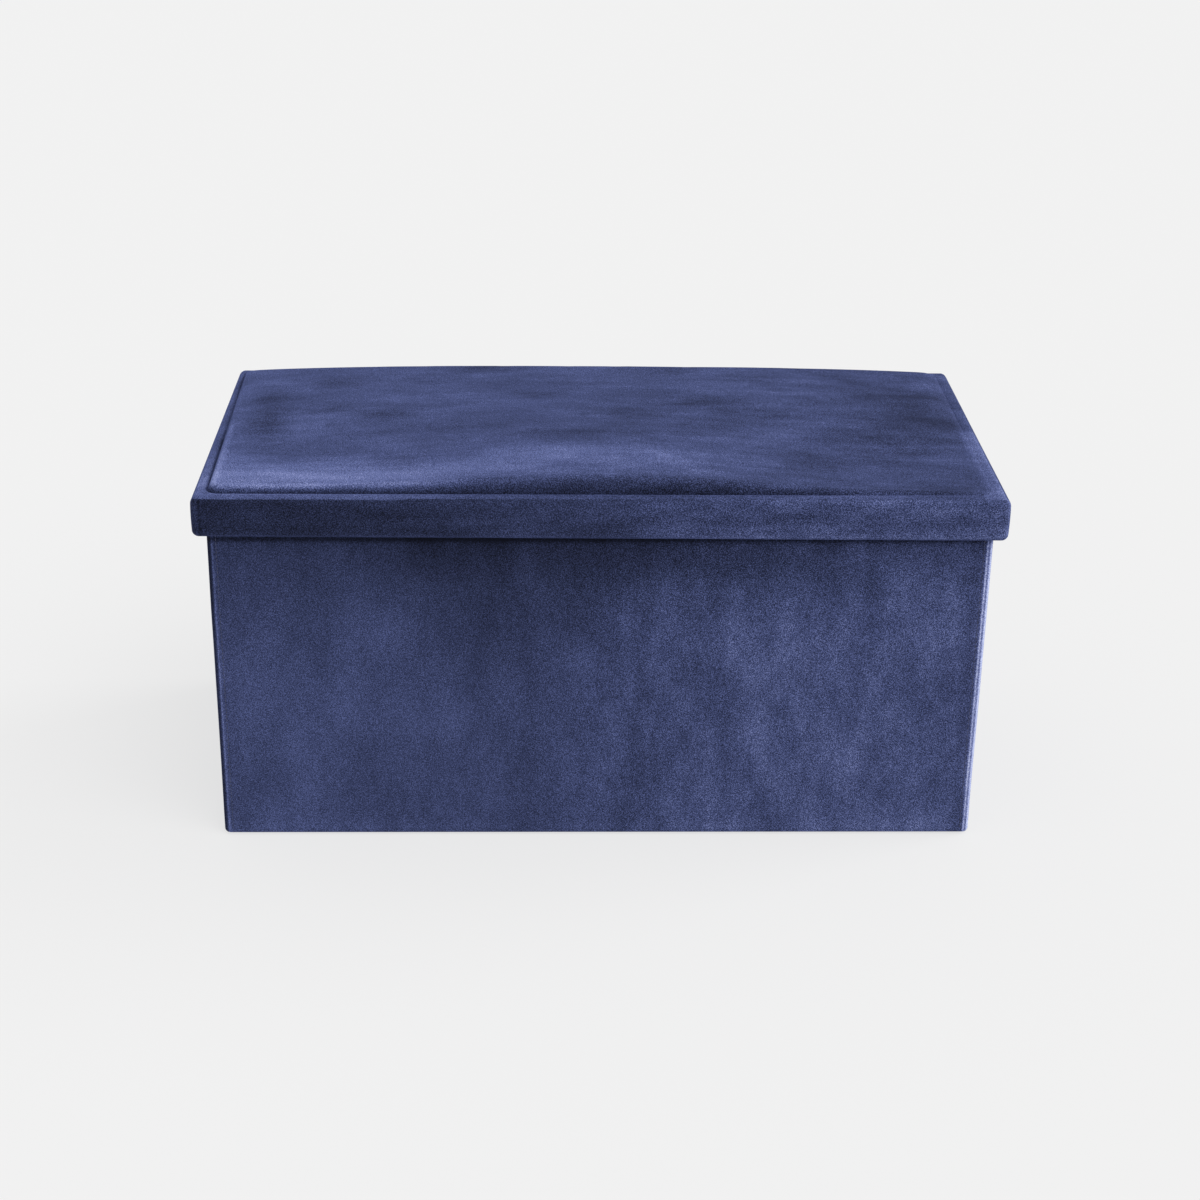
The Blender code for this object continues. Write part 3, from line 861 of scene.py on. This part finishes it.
def lid_section():
    """From the top's edge, round it, down the band, under and up inside to the hem."""
    lip = 3.6 * MM
    foot = LID_WALL - lip
    over = arc((EDGE_ROUND, RIM_Z - EDGE_ROUND), EDGE_ROUND, 90, 180, 8)[1:]
    band = [(0.0, z) for z in even(RIM_Z - EDGE_ROUND, LID_BOTTOM + foot, 3 * MM)[1:]]
    under = arc((foot, LID_BOTTOM + foot), foot, 180, 270, 6)[1:]
    up = arc((foot, LID_BOTTOM + lip), lip, 270, 360, 4)[1:]
    hem = [(LID_WALL, z) for z in even(LID_BOTTOM + lip, LID_BOTTOM + 20 * MM, 4 * MM)[1:]]
    return over + band + under + up + hem


# Where the seat is rubbed: the middle of each patch, its reach along and across, and its depth.
RUBBED = (
    (-0.327, 0.000, 0.018, 0.045, 0.42),
    (-0.335, 0.070, 0.018, 0.030, 0.16),
    (-0.300, -0.085, 0.030, 0.030, 0.09),
    (-0.280, 0.116, 0.045, 0.022, 0.22),
    (-0.267, 0.030, 0.016, 0.009, 0.16),
    (-0.217, 0.016, 0.030, 0.011, 0.25),
    (-0.137, -0.025, 0.030, 0.009, 0.16),
    (-0.184, -0.110, 0.035, 0.018, 0.19),
    (-0.109, 0.158, 0.035, 0.013, 0.31),
    (-0.061, 0.070, 0.024, 0.010, 0.25),
    (-0.020, -0.058, 0.060, 0.014, 0.19),
    (0.035, 0.143, 0.025, 0.014, 0.12),
    (0.081, 0.147, 0.026, 0.012, 0.22),
    (0.025, 0.007, 0.032, 0.020, 0.17),
    (0.098, 0.050, 0.036, 0.018, 0.19),
    (0.170, 0.120, 0.030, 0.015, 0.12),
    (0.209, -0.107, 0.038, 0.018, 0.17),
    (0.305, 0.090, 0.052, 0.042, 0.29),
    (0.330, 0.040, 0.028, 0.042, 0.20),
    (0.300, -0.045, 0.040, 0.050, 0.16),
    (-0.264, -0.014, 0.003, 0.005, 0.30),
    (-0.065, -0.050, 0.004, 0.005, 0.35),
    (-0.015, 0.000, 0.003, 0.004, 0.30),
)


def lid_tone(co):
    """The pile over the lid: lighter on top, rubbed dark in places, the band dark at the left, and painted
    highlights and shade along its edges and groove.
    """
    x, y, z = co
    if z > RIM_Z - VELVET:
        return lid_top_tone(x, y)
    if y > -LID_B + 10 * MM:
        return 0.5
    tone = 0.41 + 0.22 * smooth_step((x + 0.18) / 0.34)
    tone -= 0.05 * bell(x + LID_A, 0.03) + 0.10 * smooth_step((-0.16 - x) / 0.12)
    tone += 0.06 * smooth_step((x - 0.1) / 0.05) - 0.08 * bell(x - 0.01, 0.04)
    # Painted highlight along the band's turned-under bottom edge.
    tone += 0.12 * bell(z - LID_BOTTOM - 2 * MM, 1.6 * MM)
    tone -= 0.2 * bell(x + LID_A - SEAM_AT, 1 * MM)
    tone += 0.12 * bell(x + LID_A - SEAM_AT + 3 * MM, 1.6 * MM)
    # Painted highlight at the band's right end.
    return tone + 0.12 * bell(x - LID_A, 5 * MM)


def lid_top_tone(x, y):
    """The top's pile: painted highlights along its front and right, painted shade in the groove, and dark
    where it is rubbed.
    """
    d = edge_distance(x, y)
    tone = 0.63 - 0.05 * smooth_step((x + 0.25) / 0.2) - 0.05 * smooth_step((x - 0.15) / 0.15)
    # Painted highlight along the front of the seat's cushion.
    tone += 0.25 * bell(y + 0.152, 0.03) * smooth_step((0.06 - x) / 0.3)
    tone += 0.15 * bell(y + 0.12, 0.045) * smooth_step((0.22 - x) / 0.2)
    tone += 0.05 * smooth_step((-0.27 - x) / 0.08)
    tone += 0.07 * bell(x, 0.10) * bell(y + 0.11, 0.03) - 0.06 * bell(x, 0.12) * bell(y - 0.07, 0.06)
    tone -= spots(x, y, RUBBED)
    if y < 0 and GROOVE - 3 * MM < d < GROOVE + 14 * MM and x < LID_A - GROOVE:
        fade = 1 - 0.85 * smooth_step((x - 0.08) / 0.22)
        full = 1.9 * MM + 4.6 * MM * bell(x, 0.2)
        # Painted shade in the front groove and down the cushion's steep front.
        tone -= 0.31 * bell(max(d - GROOVE, 0.0), full) * bell(min(d - GROOVE, 0.0), 1.1 * MM) * fade
        at_left = smooth_step((-0.05 - x) / 0.15)
        # Painted highlight on the cushion's front slope at the left, over a painted shade line in the
        # groove.
        tone += 0.20 * at_left * bell(d - GROOVE - 5.5 * MM, 3.5 * MM)
        tone -= 0.15 * at_left * bell(d - GROOVE, 1.3 * MM)
    # Painted shade in the groove along the left side.
    if x < -LID_A + 30 * MM:
        tone -= 0.12 * bell(d - GROOVE, 1.8 * MM) + 0.03 * smooth_step((GROOVE - d) / (2 * MM))
    # Painted highlights along the seat's right side and its rounded right edge.
    if x > LID_A - 24 * MM:
        tone += 0.15 * smooth_step((d - 24 * MM) / (-9 * MM)) * smooth_step((0.1 - y) / 0.12)
        tone += 0.10 * bell(d - GROOVE, 2.2 * MM) * smooth_step((0.06 - y) / 0.12)
        tone += 0.30 * bell(LID_A - x, 7 * MM) * smooth_step((0.10 - y) / 0.12)
    # Painted highlight on the front ledge between the groove and the edge.
    if d < GROOVE and y < 0:
        tone += 0.05
    return tone


def lid_nap(co):
    """How mottled the pile is: rough where the seat is rubbed, and towards the right."""
    x, y, z = co
    nap = 0.78 + 0.37 * smooth_step((x + 0.05) / 0.15)
    if z > RIM_Z - VELVET:
        nap += 2.6 * spots(x, y, RUBBED)
    return min(nap, 1.5)


def near_end(value, half):
    """0 in the middle of a side, rising to 1 where the top's outline ends."""
    return clamp((value - (half - SQUEEZE)) / (SQUEEZE - EDGE_ROUND), 0.0, 1.0)


def rounded(x, y, inset):
    """(x, y) on the top's outline, moved to the lid's outline at this inset, corners rounded."""
    outer_x = x + copysign(EDGE_ROUND, x) * near_end(abs(x), LID_A)
    outer_y = y + copysign(EDGE_ROUND, y) * near_end(abs(y), LID_B)
    return ring_point(outer_x, outer_y, inset, LID_A, LID_B, EDGE_ROUND)


def corner_seam(x, y):
    """The band's pieces are joined by a fine vertical seam a little way round from each corner."""
    if abs(y) < LID_B - EDGE_ROUND - 1e-6:
        return 0.0
    beside = LID_A - abs(x) - EDGE_ROUND * near_end(abs(x), LID_A)
    return 0.6 * MM * bell(beside - SEAM_AT, 1.1 * MM)


def build_lid_velvet():
    """The whole cover: the top, its rounded edge, the band, and the hem inside."""
    xs = across(LID_A, LID_DISTANCES, 7 * MM)
    ys = across(LID_B, LID_DISTANCES, 6 * MM)
    right, back = len(xs) - 1, len(ys) - 1
    bm = bmesh.new()
    grid = {}
    for i, x in enumerate(xs):
        for j, y in enumerate(ys):
            if i in (0, right) or j in (0, back):
                point = (*rounded(x, y, EDGE_ROUND), RIM_Z)
            else:
                point = (x, y, lid_surface(x, y))
            grid[i, j] = bm.verts.new(point)
    for i in range(right):
        for j in range(back):
            bm.faces.new((grid[i, j], grid[i + 1, j], grid[i + 1, j + 1], grid[i, j + 1]))
    border = [(i, 0) for i in range(right)] + [(right, j) for j in range(back)]
    border += [(i, back) for i in range(right, 0, -1)] + [(0, j) for j in range(back, 0, -1)]
    above = [grid[key] for key in border]
    for inset, z in lid_section():
        ring = []
        for x, y in ((xs[i], ys[j]) for i, j in border):
            slow = noise.noise(Vector((x * 6, y * 6, z * 9)))
            out = 0.5 * MM * sin(pi * clamp((RIM_Z - z) / (RIM_Z - LID_BOTTOM), 0, 1)) * (1 + slow)
            drawn = inset + corner_seam(x, y) - out if inset < 1 * MM else inset
            px, py = rounded(x, y, drawn)
            ring.append(bm.verts.new((px, py, z - BAND_SKEW * (RIM_Z - z) * (px + LID_A))))
        for k in range(len(ring)):
            n = (k + 1) % len(ring)
            bm.faces.new((above[k], ring[k], ring[n], above[n]))
        above = ring
    obj = make_object("lid_velvet_cover", finished_mesh("lid_velvet", bm), "lid_velvet")
    paint_pile_and_light(obj, lid_tone, lid_nap)
    thicken(obj, VELVET, levels=0)
    bands = [f"lid_band_{side}" for side in ("front", "back", "left", "right")]
    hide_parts("lid_top_cover", *bands)
    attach(obj, "lid")


def round_corner(x, y, half_x, half_y, radius):
    """Moves the points of a square corner in, so that its outline is rounded."""
    dx, dy = abs(x) - (half_x - radius), abs(y) - (half_y - radius)
    if dx <= 0 or dy <= 0:
        return x, y
    share = max(dx, dy) / hypot(dx, dy)
    return copysign(half_x - radius + dx * share, x), copysign(half_y - radius + dy * share, y)


def moved_to(height, geometry):
    """Moves the vertices of an extruded piece of a bmesh to one height."""
    for part in geometry:
        if isinstance(part, bmesh.types.BMVert):
            part.co.z = height


def build_foam():
    """The pad under the velvet, a little smaller all round than the space that it fills."""
    margin = GROOVE + 4 * MM
    under_velvet = 2.4 * MM
    distances = [d * MM for d in (40, 26, 17, 11, 7, 4, 2, 0.8, 0)]
    xs = across(LID_A - margin, distances, 16 * MM)
    ys = across(LID_B - margin, distances, 14 * MM)
    top = []
    for x in xs:
        row = []
        for y in ys:
            px, py = round_corner(x, y, xs[-1], ys[-1], CUSHION_CORNER)
            row.append((px, py, max(lid_surface(px, py) - under_velvet, FOAM_BOTTOM + 0.4 * MM)))
        top.append(row)
    mesh = grid_mesh("lid_foam_pad", top, flip=True)
    bm = bmesh.new()
    bm.from_mesh(mesh)
    rim = [edge for edge in bm.edges if edge.is_boundary]
    moved_to(FOAM_BOTTOM, bmesh.ops.extrude_edge_only(bm, edges=rim)["geom"])
    bmesh.ops.contextual_create(bm, geom=[edge for edge in bm.edges if edge.is_boundary])
    bmesh.ops.recalc_face_normals(bm, faces=bm.faces)
    bm.to_mesh(mesh)
    bm.free()
    obj = make_object("lid_foam_pad", mesh, "foam")
    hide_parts("lid_foam")
    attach(obj, "lid")


def build_lid_lining():
    """Black cloth stapled up inside the lid; it is drawn up at each staple and hangs a little."""
    low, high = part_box("lid_lining")
    staples = [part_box(name) for name in frame["nodes"] if name.startswith("lid_staple_")]
    centres = [(corner + opposite) / 2 for corner, opposite in staples]
    xs = even(low.x + 1 * MM, high.x - 1 * MM, 12 * MM)
    ys = even(low.y + 1 * MM, high.y - 1 * MM, 12 * MM)
    rows = []
    for x in xs:
        row = []
        for y in ys:
            drawn = max(bell(hypot(x - c.x, y - c.y), 16 * MM) for c in centres)
            edge = min(high.x - abs(x), high.y - abs(y))
            sag = 1.1 * MM * smooth_step(edge / (45 * MM)) * (1 - drawn)
            ripple = 0.5 * MM * noise.noise(Vector((x * 12, y * 12, 0.0))) * (1 - drawn)
            row.append((x, y, low.z + 0.3 * MM - min(sag + ripple, 0.9 * MM)))
        rows.append(row)
    obj = thick_sheet("lid_lining_cloth", rows, "lining", LINING / 2)
    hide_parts("lid_lining")
    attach(obj, "lid")


def stitch_lid():
    """The hem inside the band."""
    z = LID_BOTTOM + 15 * MM
    inset = LID_WALL + 0.1 * MM
    x, y = LID_A - inset, LID_B - inset
    gap = 9 * MM
    for side, name in HALVES:
        path = [(gap - x, side * y, z), (x - gap, side * y, z)]
        stitch_row(f"lid_{name}_hem_stitching", path, "lid", HEM_PITCH)
    for side, name in SIDES:
        path = [(side * x, gap - y, z), (side * x, y - gap, z)]
        stitch_row(f"lid_{name}_hem_stitching", path, "lid", HEM_PITCH)


# --- floor ---------------------------------------------------------------------------------------
def build_floor_cloth():
    low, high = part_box("floor_cloth")
    tucked = 5 * MM
    rows = []
    for x in even(low.x + tucked, high.x - tucked, 14 * MM):
        row = []
        for y in even(low.y + tucked, high.y - tucked, 12 * MM):
            dip = 0.5 + 0.5 * noise.noise(Vector((x * 14, y * 14, 1)))
            row.append((x, y, high.z - 0.25 * MM * dip))
        rows.append(row)
    obj = thick_sheet("floor_cloth_sheet", rows, "lining", 0.5 * MM, levels=0, flip=True)
    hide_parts("floor_cloth")
    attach(obj, "front_wall")
    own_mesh(obj)


def leaf_outline(node):
    """The corners of a floor board, in order round it."""
    points = {(round(v.co.x, 6), round(v.co.y, 6)) for v in frame["nodes"][node].data.vertices}
    middle_y = sum(y for _, y in points) / len(points)
    return sorted(points, key=lambda p: atan2(p[1] - middle_y, p[0]))


def offset_inwards(outline, i, distance):
    """The corner i of a convex outline, moved in by distance from both its edges."""
    before, here, after = (Vector(outline[(i + k) % len(outline)]) for k in (-1, 0, 1))
    first, second = (here - before).normalized(), (after - here).normalized()
    normal = (Vector((-first.y, first.x)) + Vector((-second.y, second.x))).normalized()
    return tuple(here + normal * distance / normal.dot(Vector((-first.y, first.x))))


def build_leaf(half):
    """A floor board wrapped in black cloth, its edges rounded and stitched."""
    node = f"base_{half}_board"
    low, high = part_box(node)[0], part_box(f"base_{half}_cloth")[1]
    outline = leaf_outline(node)
    bm = bmesh.new()
    bottom = bm.faces.new([bm.verts.new((x, y, low.z - 0.2 * MM)) for x, y in outline])
    moved_to(high.z, bmesh.ops.extrude_face_region(bm, geom=[bottom])["geom"])
    bmesh.ops.recalc_face_normals(bm, faces=bm.faces)
    bmesh.ops.bevel(bm, geom=bm.edges, offset=1.6 * MM, segments=4, profile=0.5, affect="EDGES")
    name = f"base_{half}_wrap"
    obj = make_object(name, finished_mesh(name, bm), "lining")
    obj.data.set_sharp_from_angle(angle=radians(40))
    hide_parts(f"base_{half}_cloth")
    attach(obj, f"base_{half}")
    inner = [offset_inwards(outline, i, 7 * MM) for i in range(len(outline))]
    loop = [(x, y, high.z + 0.12 * MM) for x, y in inner + inner[:1]]
    stitch_row(f"base_{half}_stitching", loop, f"base_{half}", HEM_PITCH)


def build_strap():
    """The webbing strap that lifts the floor: sewn down at one end, its loose end bowed up."""
    low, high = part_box("base_pull_strap")
    sewn = low.y + 30 * MM
    rows = []
    for y in even(low.y, high.y, 2.5 * MM):
        loose = smooth_step((y - sewn) / (high.y - sewn))
        row = []
        for x in even(low.x, high.x, 2.5 * MM):
            edge = smooth_step((high.x - abs(x)) / (2 * MM))
            row.append((x, y, high.z + 2.2 * MM * loose * (0.6 + 0.4 * edge)))
        rows.append(row)
    obj = thick_sheet("base_strap_webbing", rows, "webbing", high.z - low.z, flip=True)
    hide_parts("base_pull_strap")
    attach(obj, "base_front")
    inset, pitch = 3.5 * MM, 3 * MM
    x0, x1, y0, y1 = low.x + inset, high.x - inset, low.y + inset, low.y + 20 * MM
    z = high.z + 0.1 * MM
    box = [(x0, y0, z), (x1, y0, z), (x1, y1, z), (x0, y1, z), (x0, y0, z), (x1, y1, z)]
    stitch_row("base_strap_stitching", box, "base_front", pitch)
    stitch_row("base_strap_cross_stitching", [(x1, y0, z), (x0, y1, z)], "base_front", pitch)


# --- what the frame shows itself -----------------------------------------------------------------
def tuck(co, half_x, half_y, low, high, radius):
    """Moves a point of a board in under a rounded box of velvet, if it stands out of it."""
    inner_x = clamp(co.x, radius - half_x, half_x - radius)
    inner_y = clamp(co.y, radius - half_y, half_y - radius)
    inner = Vector((inner_x, inner_y, clamp(co.z, low + radius, high - radius)))
    out = co - inner
    return inner + out * min((radius - VELVET) / max(out.length, 1e-9), 1.0)


def ease_board(node, body, box):
    """A board as it is in the frame, but with its corners eased to stay under the velvet."""
    bm = bmesh.new()
    bm.from_mesh(frame["nodes"][node].data)
    bmesh.ops.remove_doubles(bm, verts=bm.verts, dist=0.01 * MM)
    sharp = [edge for edge in bm.edges if edge.calc_face_angle(0.0) > radians(30)]
    bmesh.ops.bevel(bm, geom=sharp, offset=2 * MM, segments=3, profile=0.5, affect="EDGES")
    for vert in bm.verts:
        vert.co = tuck(vert.co, *box)
    name = f"{node}_eased"
    obj = make_object(name, finished_mesh(name, bm), "fibreboard")
    obj.data.set_sharp_from_angle(angle=radians(40))
    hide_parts(node)
    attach(obj, body)


def ease_boards():
    bin_box = (BIN_A, BIN_B, WALL_BOTTOM, WALL_TOP, CORNER_RADIUS)
    for wall in ("front", "back", "left_front", "left_back", "right_front", "right_back"):
        ease_board(f"{wall}_board", f"{wall}_wall", bin_box)
    lid_box = (LID_A, LID_B, LID_BOTTOM, RIM_Z, EDGE_ROUND)
    for side in ("front", "back", "left", "right"):
        ease_board(f"lid_skirt_{side}", "lid", lid_box)


def dress_frame():
    """The lid board, floor boards and staples are right as they are and only need materials."""
    for name, node in frame["nodes"].items():
        if node.hide_render:
            continue
        look = "staple_steel" if name.startswith("lid_staple") else "fibreboard"
        for slot in node.material_slots:
            slot.material = LOOK[look]


# --- studio --------------------------------------------------------------------------------------
def build_stage():
    bm = bmesh.new()
    bmesh.ops.create_grid(bm, x_segments=1, y_segments=1, size=14.0)
    mesh = finished_mesh("studio_floor", bm)
    nodes = Nodes("studio_floor")
    nodes.fill(
        nodes.shader,
        Base_Color=(0.17, 0.17, 0.17, 1.0),
        Emission_Color=(1.0, 1.0, 1.0, 1.0),
        Emission_Strength=0.685,
        Roughness=1.0,
        Specular_IOR_Level=0.0,
    )
    mesh.materials.append(nodes.material)
    floor = add_object("studio_floor", mesh)
    floor.location.z = -0.3 * MM


def soft_sun(name, azimuth, elevation, spread, strength):
    """Even light from one side of the room: azimuth 0 is the front and 90 the right."""
    data = bpy.data.lights.new(name, "SUN")
    data.energy = strength
    data.angle = radians(spread)
    a, e = radians(azimuth), radians(elevation)
    towards = Vector((sin(a) * cos(e), -cos(a) * cos(e), sin(e)))
    add_object(name, data).rotation_euler = towards.to_track_quat("Z", "Y").to_euler()


def build_lights():
    world = bpy.data.worlds.new("studio")
    world.use_nodes = True
    background = world.node_tree.nodes["Background"].inputs
    background["Color"].default_value = (1, 1, 1, 1)
    background["Strength"].default_value = 0.6
    bpy.context.scene.world = world
    soft_sun("key", 40, 52, 50, 1.5)
    soft_sun("rim", 105, 25, 30, 1.4)
    bpy.context.scene.view_settings.view_transform = "Standard"


def build_camera():
    data = bpy.data.cameras.new("camera")
    data.lens = 67.2
    data.sensor_width = 36.0
    camera = add_object("camera", data)
    yaw, pitch, roll = radians(1.60), radians(24.10), radians(0.75)
    upright = Matrix.Rotation(pi / 2 - pitch, 4, "X")
    turned = Matrix.Rotation(-yaw, 4, "Z") @ upright @ Matrix.Rotation(roll, 4, "Z")
    camera.matrix_world = Matrix.Translation((-0.055, -2.112, 1.120)) @ turned
    bpy.context.scene.camera = camera


build_walls()
build_open_corner()
stitch_walls()
build_lid_velvet()
build_foam()
build_lid_lining()
stitch_lid()
build_floor_cloth()
build_leaf("front")
build_leaf("back")
build_strap()
ease_boards()
dress_frame()
build_stage()
build_lights()
build_camera()
